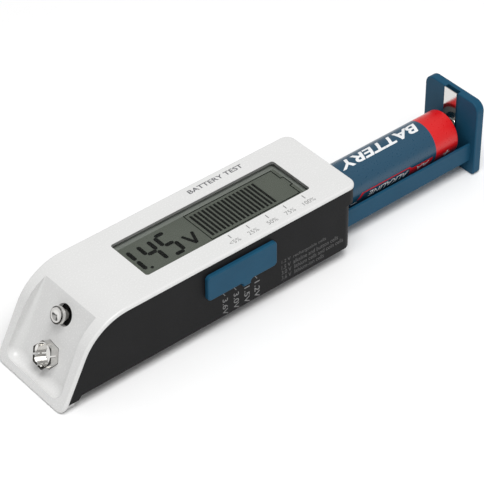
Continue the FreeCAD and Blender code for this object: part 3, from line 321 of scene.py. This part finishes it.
def text_mesh(text, height, length=None, weight=0.0, slant=0.0, align="CENTER"):
    """Raised letters in the XY plane: `height` tall over all, `length` long if that is given.

    They are centred on the origin, or with LEFT alignment start there. `weight` thickens the
    strokes by a fraction of the font's size, and `slant` is the slope that they lean at."""
    half = 0.5
    curve = bpy.data.curves.new("letters", "FONT")
    curve.body = text
    curve.offset = weight
    curve.shear = slant
    curve.extrude = half
    curve.resolution_u = 4
    holder = bpy.data.objects.new("letters", curve)
    bpy.context.scene.collection.objects.link(holder)
    bpy.context.view_layer.update()
    mesh = bpy.data.meshes.new_from_object(holder.evaluated_get(bpy.context.evaluated_depsgraph_get()))
    bpy.data.objects.remove(holder)
    bpy.data.curves.remove(curve)
    xs = [vertex.co.x for vertex in mesh.vertices]
    ys = [vertex.co.y for vertex in mesh.vertices]
    start = min(xs) if align == "LEFT" else (min(xs) + max(xs)) / 2
    tall = height / (max(ys) - min(ys))
    wide = length / (max(xs) - min(xs)) if length else tall
    mesh.transform(Matrix.Translation((-start, -(min(ys) + max(ys)) / 2, half)))
    mesh.transform(Matrix.Diagonal((wide, tall, PRINT, 1)))
    return mesh


def merged(meshes):
    """One mesh from several."""
    shape = bmesh.new()
    for mesh in meshes:
        shape.from_mesh(mesh)
    bmesh.ops.remove_doubles(shape, verts=shape.verts[:], dist=WELD)
    result = bpy.data.meshes.new("merged")
    shape.to_mesh(result)
    shape.free()
    return result


def placed(mesh, matrix):
    """The same mesh, moved by a matrix."""
    mesh.transform(matrix)
    return mesh


def plane_matrix(origin, u, v):
    """Matrix that lays local X along u and local Y along v at origin."""
    u, v = Vector(u).normalized(), Vector(v).normalized()
    return Matrix.Translation(Vector(origin)) @ Matrix((u, v, u.cross(v))).transposed().to_4x4()


def rectangle(left, right, low, high):
    """Outline of a rectangle."""
    return [(left, low), (right, low), (right, high), (left, high)]


def rounded_bar(start, end, width, taper=0.35, blunt=0.45):
    """Outline of a display bar: a straight stroke with chamfered ends.

    Each end narrows to `blunt` of the half width over `taper` of the width."""
    start, end = Vector(start), Vector(end)
    along = (end - start).normalized()
    across = Vector((-along.y, along.x)) * width / 2
    nose = along * width * taper
    return [tuple(point) for point in (
        start + across * blunt, start + nose + across, end - nose + across, end + across * blunt,
        end - across * blunt, end - nose - across, start + nose - across, start - across * blunt)]


def frame_outline(corners, width):
    """Four-sided plates that draw a thin line round a closed path of right angles."""
    plates = []
    count = len(corners)
    for index in range(count):
        a, b = Vector(corners[index]), Vector(corners[(index + 1) % count])
        along = (b - a).normalized() * width / 2
        across = Vector((-along.y, along.x))
        plates.append([tuple(a - along + across), tuple(a - along - across),
                       tuple(b + along - across), tuple(b + along + across)])
    return plates


def wrapped(mesh, radius, axis_height, step):
    """Rolls a flat mesh, (x, arc, height above the surface), on to a cylinder along X.

    arc runs round from the top towards -Y."""
    shape = bmesh.new()
    shape.from_mesh(mesh)
    ys = [vertex.co.y for vertex in shape.verts]
    level = math.floor(min(ys) / step) * step
    while level < max(ys):
        geometry = shape.verts[:] + shape.edges[:] + shape.faces[:]
        bmesh.ops.bisect_plane(shape, geom=geometry, plane_co=(0, level, 0), plane_no=(0, 1, 0), dist=CUT)
        level += step
    for vertex in shape.verts:
        x, arc, height = vertex.co
        angle = arc / radius
        reach = radius + height
        vertex.co = (x, -reach * math.sin(angle), axis_height + reach * math.cos(angle))
    bmesh.ops.recalc_face_normals(shape, faces=shape.faces[:])
    result = bpy.data.meshes.new("wrapped")
    shape.to_mesh(result)
    shape.free()
    return result


# ---------------------------------------------------------------- places read from the frame
COVER_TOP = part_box("top_cover")[1].z
SIDE_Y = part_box("bottom_shell")[0].y
FILM_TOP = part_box("lcd_front_polariser")[1].z
JACKET_LOW, JACKET_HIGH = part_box("cell_jacket")
CELL_RADIUS = (JACKET_HIGH.y - JACKET_LOW.y) / 2
CELL_HEIGHT = (JACKET_HIGH.z + JACKET_LOW.z) / 2
RED_BAND_START = JACKET_HIGH.x - 9.2 * MM


# ---------------------------------------------------------------- floor and light
# Heights in the sky are the upward part of a direction, from 0 at the horizon to 1 overhead.
SKY_HORIZON, SKY_TOP = 0.52, 0.53
SKY_BLEND = (0.05, 0.4)
DARK_HORIZON = (-0.805, 0.592, 0)
DARK_SIDES = (0.6, 0.85)
DARK_HEIGHT = (0.1, 0.25)
DARK_LEVEL = 0.03
KEY_DIRECTION = Vector((-0.1, -0.3, 0.95))
KEY_DISTANCE = 0.95
KEY_TARGET = Vector((0, 0, 0.01))
KEY_SIZE = 0.55
KEY_POWER = 6.6
FLOOR_REACH = 3


def make_stage():
    shape = bmesh.new()
    bmesh.ops.create_grid(shape, x_segments=8, y_segments=8, size=FLOOR_REACH)
    mesh = bpy.data.meshes.new("floor")
    shape.to_mesh(mesh)
    shape.free()
    floor = bpy.data.objects.new("floor", mesh)
    bpy.context.scene.collection.objects.link(floor)
    floor.location.z = CAD_BOX[0].z
    mesh.materials.append(plastic("floor_paint", (0.95, 0.95, 0.95), 0.8, 40 * MM, 0.001 * MM, 0.004, 0.1))


def make_sky():
    """Pale sky, a little dimmer near the horizon.

    A dark stretch of horizon beyond the nose gives the nickel terminals darker reflections."""
    world = bpy.data.worlds.new("studio")
    bpy.context.scene.world = world
    world.use_nodes = True
    tree = world.node_tree
    direction = tree.nodes.new("ShaderNodeTexCoord").outputs["Generated"]
    split = tree.nodes.new("ShaderNodeSeparateXYZ")
    tree.links.new(direction, split.inputs[0])
    height = split.outputs["Z"]
    ahead = vector_math(tree, "DOT_PRODUCT", direction, DARK_HORIZON)
    dark = product(tree, ranged(tree, ahead, *DARK_SIDES, 0, 1), ranged(tree, height, *DARK_HEIGHT, 1, 0))
    sky = ranged(tree, height, *SKY_BLEND, SKY_HORIZON, SKY_TOP)
    background = tree.nodes["Background"]
    background.inputs["Color"].default_value = (1, 1, 1, 1)
    tree.links.new(product(tree, sky, ranged(tree, dark, 0, 1, 1, DARK_LEVEL)), background.inputs["Strength"])


def make_key_light():
    """One large soft lamp overhead."""
    data = bpy.data.lights.new("key", "AREA")
    data.shape = "RECTANGLE"
    data.size = data.size_y = KEY_SIZE
    data.energy = KEY_POWER
    lamp = bpy.data.objects.new("key", data)
    bpy.context.scene.collection.objects.link(lamp)
    lamp.location = KEY_DIRECTION * KEY_DISTANCE
    lamp.rotation_euler = (KEY_TARGET - lamp.location).to_track_quat("-Z", "Y").to_euler()


# ---------------------------------------------------------------- display
LCD_LIFT = 0.03 * MM
LCD_INK_HEIGHT = 0.05 * MM
SEGMENT = 1.3 * MM
DIGIT_LOW, DIGIT_HIGH = -5.4 * MM, 5.6 * MM
DIGITS = ((-46.2, -41.6, "bc"), (-39.2, -34.3, "bcfg"), (-33.2, -28.3, "afgcd"))  # 1, 4, 5
POINT_X, POINT_Y, POINT_RADIUS = -40.6 * MM, -4.8 * MM, 0.5 * MM
UNIT_TOPS, UNIT_TOP_Y = (-26.4 * MM, -22.8 * MM), 0.2 * MM  # the two strokes of the V
UNIT_FOOT = (-24.5 * MM, -4.6 * MM)
UNIT_STROKE = 0.95 * MM
BAR_COUNT = 17
BARS_LEFT, BARS_RIGHT = -19.3 * MM, 4.3 * MM
BARS_NEAR, BARS_FAR = -5.0 * MM, 5.7 * MM
BAR_SHARE = 0.55  # of the pitch
BATTERY_LEFT, BATTERY_RIGHT, BATTERY_NUB = -20.4 * MM, 11.9 * MM, 12.9 * MM
BATTERY_LOW, BATTERY_HIGH = -6.2 * MM, 6.8 * MM
NUB_LOW, NUB_HIGH = -1.8 * MM, 2.4 * MM
BATTERY_LINE = 0.28 * MM


def digit_bars(left, right, low, high, lit):
    """Lit bars of a seven-segment digit: a top, b and c right, d bottom, e and f left, g middle."""
    gap = 0.35 * MM
    middle = (low + high) / 2
    inset = SEGMENT / 2
    x0, x1, y0, y1 = left + inset, right - inset, low + inset, high - inset
    ends = {
        "a": ((x0 + gap, y1), (x1 - gap, y1)), "b": ((x1, middle + gap), (x1, y1 - gap)),
        "c": ((x1, y0 + gap), (x1, middle - gap)), "d": ((x0 + gap, y0), (x1 - gap, y0)),
        "e": ((x0, y0 + gap), (x0, middle - gap)), "f": ((x0, middle + gap), (x0, y1 - gap)),
        "g": ((x0 + gap, middle), (x1 - gap, middle)),
    }
    return [rounded_bar(*ends[name], SEGMENT) for name in lit]


def make_display():
    """The reading, 1.45 V, and the bars inside a battery's outline."""
    figures = []
    for left, right, lit in DIGITS:
        figures += digit_bars(left * MM, right * MM, DIGIT_LOW, DIGIT_HIGH, lit)
    figures.append([(POINT_X + POINT_RADIUS * math.cos(angle), POINT_Y + POINT_RADIUS * math.sin(angle))
                    for angle in [step * math.pi / 6 for step in range(12)]])
    figures += [rounded_bar((x, UNIT_TOP_Y), UNIT_FOOT, UNIT_STROKE, 0.2) for x in UNIT_TOPS]
    pitch = (BARS_RIGHT - BARS_LEFT) / (BAR_COUNT - (1 - BAR_SHARE))
    lefts = [BARS_LEFT + index * pitch for index in range(BAR_COUNT)]
    bars = [rectangle(left, left + pitch * BAR_SHARE, BARS_NEAR, BARS_FAR) for left in lefts]
    battery = frame_outline([
        (BATTERY_LEFT, BATTERY_LOW), (BATTERY_RIGHT, BATTERY_LOW), (BATTERY_RIGHT, NUB_LOW),
        (BATTERY_NUB, NUB_LOW), (BATTERY_NUB, NUB_HIGH), (BATTERY_RIGHT, NUB_HIGH),
        (BATTERY_RIGHT, BATTERY_HIGH), (BATTERY_LEFT, BATTERY_HIGH)], BATTERY_LINE)
    lift = Matrix.Translation((0, 0, FILM_TOP + LCD_LIFT))
    for name, outlines, ink in (("lcd_figures", figures, LCD_INK), ("lcd_bars", bars, LCD_INK),
                                ("lcd_battery_outline", battery, LCD_LINE)):
        add_piece(name, placed(slab(outlines, LCD_INK_HEIGHT), lift), ink, "housing")


# ---------------------------------------------------------------- print on the cover and the side
# Marks give their text and place along X in millimetres.
SCALE_MARKS = (("<5%", -17.35), ("25%", -10.75), ("50%", -3.75), ("75%", 2.85), ("100%", 9.85))
SCALE_HEIGHT, SCALE_Y, SCALE_SHIFT = 1.5 * MM, -12.55 * MM, -0.1 * MM
TICK_HALF = 0.13 * MM
TICK_NEAR, TICK_FAR = -10.9 * MM, -9.3 * MM
TITLE_HEIGHT, TITLE_LENGTH = 1.7 * MM, 19.8 * MM
TITLE_X, TITLE_Y = -4.1 * MM, 12.5 * MM
SELECTOR_MARKS = (("3.6V", -23.5), ("3.0V", -19.5), ("1.5V", -15.6), ("1.2V", -11.85))
SELECTOR_HEIGHT, SELECTOR_LENGTH, SELECTOR_Z = 1.9 * MM, 5.9 * MM, 7.4 * MM
POINTER_FOOT, POINTER_TIP, POINTER_LEAN = 11.4 * MM, 12.8 * MM, 0.9
POINTER_WIDTH = 0.22 * MM
LEGEND = ("1.2 V  rechargeable cells", "1.5 V  alkaline and button cells",
          "3.0 V  lithium cells and coin cells", "3.6 V  lithium-ion cells")
LEGEND_LEFT, LEGEND_TOP, LEGEND_PITCH = -2.7 * MM, 12.0 * MM, 1.95 * MM
LEGEND_HEIGHT, LEGEND_LETTER = 1.5 * MM, 0.67 * MM


def make_cover_print():
    """The percentage scale beside the window, and a generic title on its other side."""
    ticks, words = [], []
    for text, along in SCALE_MARKS:
        x = along * MM
        ticks.append(rectangle(x - TICK_HALF, x + TICK_HALF, TICK_NEAR, TICK_FAR))
        place = Matrix.Translation((x + SCALE_SHIFT, SCALE_Y, COVER_TOP))
        words.append(placed(text_mesh(text, SCALE_HEIGHT, weight=-0.008), place))
    ticks = placed(slab(ticks, PRINT), Matrix.Translation((0, 0, COVER_TOP)))
    add_piece("cover_scale", merged([ticks] + words), GREY_INK, "housing")
    title = text_mesh("BATTERY TEST", TITLE_HEIGHT, TITLE_LENGTH, weight=0.016)
    title = placed(title, Matrix.Translation((TITLE_X, TITLE_Y, COVER_TOP)))
    add_piece("cover_title", title, DARK_INK, "housing")


def make_side_print():
    """The selector's voltages, which read downwards, and the legend beside them."""
    outward = plane_matrix((0, SIDE_Y, 0), (1, 0, 0), (0, 0, 1))
    downward = Matrix.Rotation(-math.pi / 2, 4, "Z")
    words, ticks = [], []
    for text, along in SELECTOR_MARKS:
        letters = text_mesh(text, SELECTOR_HEIGHT, SELECTOR_LENGTH, weight=0.005)
        place = Matrix.Translation((along * MM, SELECTOR_Z, 0))
        words.append(placed(letters, outward @ place @ downward))
        tip = ((along - POINTER_LEAN) * MM, POINTER_TIP)
        ticks.append(rounded_bar((along * MM, POINTER_FOOT), tip, POINTER_WIDTH, 0.1))
    ticks = placed(slab(ticks, PRINT), outward)
    add_piece("selector_labels", merged([ticks] + words), SIDE_INK, "housing")
    words = []
    for row, text in enumerate(LEGEND):
        letters = text_mesh(text, LEGEND_HEIGHT, len(text) * LEGEND_LETTER, align="LEFT")
        place = Matrix.Translation((LEGEND_LEFT, LEGEND_TOP - row * LEGEND_PITCH, 0))
        words.append(placed(letters, outward @ place))
    add_piece("side_legend", merged(words), LEGEND_INK, "housing")


# ---------------------------------------------------------------- print on the cell
# DEGREE is the arc of one degree round the cell, counted from its top towards -Y.
# Small words: text, middle along X in millimetres, middle in degrees, length and height in millimetres.
WRAP_STEP = 0.35 * MM
INK_LIFT = 0.01 * MM
SECOND_LIFT = 0.02 * MM  # of the print that lies on other print
DEGREE = CELL_RADIUS * math.pi / 180
WORD_HEIGHT, WORD_LENGTH = 3.9 * MM, 31.5 * MM
WORD_X, WORD_ARC = 48.4 * MM, -1.0 * DEGREE
LINE_LOW, LINE_HIGH = 87.0 * DEGREE, 89.8 * DEGREE
LINE_LEFT, LINE_RIGHT = 36.0 * MM, 54.8 * MM
LINE_FOOT = 104 * DEGREE
TAB_LOW, TAB_HIGH = 94.0 * DEGREE, 122 * DEGREE
SMALL_WORDS = (("ALKALINE", 46.2, 103, 16, 2.0), ("AA", 60.3, 105, 4.9, 1.6), ("+", 70.2, 107, 2.6, 1.9))
MINUS_SIGN = (31.4 * MM, 33.8 * MM, 108 * DEGREE, 111 * DEGREE)


def make_cell_print():
    """Generic print: a white word, a red line that ends in a tab, and small words with the poles' signs.

    It reads upside down from the -Y side. It is mirrored because the arc runs against local Y."""
    lift = Matrix.Translation((0, 0, INK_LIFT))
    mirrored = Matrix.Diagonal((1, -1, 1, 1))
    turned = mirrored @ Matrix.Rotation(math.pi, 4, "Z")

    def rolled(name, mesh, ink):
        mesh = wrapped(placed(mesh, lift), CELL_RADIUS, CELL_HEIGHT, WRAP_STEP)
        add_piece(name, mesh, ink, "cell")

    word = text_mesh("BATTERY", WORD_HEIGHT, WORD_LENGTH, weight=0.028, slant=0.25)
    rolled("cell_title", placed(word, Matrix.Translation((WORD_X, WORD_ARC, 0)) @ turned), WHITE_INK)
    line = [rectangle(LINE_LEFT, LINE_RIGHT, LINE_LOW, LINE_HIGH),
            [(33.7 * MM, LINE_FOOT), (34.7 * MM, LINE_FOOT), (36.6 * MM, LINE_LOW), (35.6 * MM, LINE_LOW)]]
    tab = [[(55.0 * MM, TAB_LOW), (64.3 * MM, TAB_LOW), (63.6 * MM, TAB_HIGH), (54.6 * MM, TAB_HIGH)],
           [(53.8 * MM, LINE_HIGH), (54.8 * MM, LINE_LOW), (55.6 * MM, TAB_LOW), (54.8 * MM, TAB_LOW)]]
    rolled("cell_red_line", slab(line, PRINT), RED_INK)
    rolled("cell_red_tab", slab(tab, PRINT), RED_INK)
    small = []
    for text, x, angle, length, height in SMALL_WORDS:
        letters = text_mesh(text, height * MM, length * MM, weight=0.012, slant=0.25)
        place = Matrix.Translation((x * MM, angle * DEGREE, SECOND_LIFT)) @ turned
        small.append(placed(letters, place))
    small.append(slab([rectangle(*MINUS_SIGN)], PRINT))
    # Whiter ink here is painted light on print in the shade low on the cell's side.
    rolled("cell_small_print", merged(small), SMALL_INK_PAINTED_LIGHT)


# ---------------------------------------------------------------- CAD nodes
FINISHES = {
    "top_cover": WHITE, "bottom_shell": BLACK, "window_pane": PANE, "lcd_front_polariser": LCD_BACK,
    "lcd_front_glass": LCD_GLASS, "lcd_rear_glass": LCD_GLASS, "lcd_reflector": LCD_BACK,
    "zebra_strips": RUBBER, "lcd_frame": GREY, "circuit_board": BOARD, "controller_chip": CHIP,
    "converter_chip": CHIP, "boost_inductor": FERRITE, "electrolytic_capacitors": ALUMINIUM,
    "load_resistors": CHIP, "board_screws": SCREW_STEEL, "case_screws": SCREW_STEEL,
    "selector_knob": BLUE, "switch_slider": CHIP, "selector_switch": SCREW_STEEL,
    "terminal_board": BLACK, "socket_spacer": BLACK, "socket_lead": RED_WIRE, "stud_lead": BLACK_WIRE,
    "contact_lead": BLACK_WIRE, "negative_contact": NICKEL, "contact_strip": ROLLED,
    "strip_brush": NICKEL, "drawer": BLUE, "return_spring": SPRING_STEEL,
    "spring_hook_fixed": SPRING_STEEL, "spring_hook_drawer": SPRING_STEEL, "cell_can": SCREW_STEEL,
    "cell_seal": SEAL, "cell_positive_cap": NICKEL, "cell_negative_base": NICKEL,
}
# Distance from a terminal's axis beyond which its rim carries the painted dark reflection.
TERMINAL_RINGS = {"stud_terminal": 2.15 * MM, "socket_terminal": 3.3 * MM}


def finish_nodes():
    """A material for every CAD node."""
    finishes = dict(FINISHES, cell_jacket=label_film())
    for node, ring in TERMINAL_RINGS.items():
        low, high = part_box(node)
        finishes[node] = terminal_nickel_with_painted_rim(f"{node}_nickel", node, (low + high) / 2, ring)
    for name, material in finishes.items():
        mesh = NODES[name].data
        mesh.materials.clear()
        mesh.materials.append(material)


make_camera()
make_stage()
make_sky()
make_key_light()
make_display()
make_cover_print()
make_side_print()
make_cell_print()
finish_nodes()
bpy.context.scene.view_settings.view_transform = "Standard"
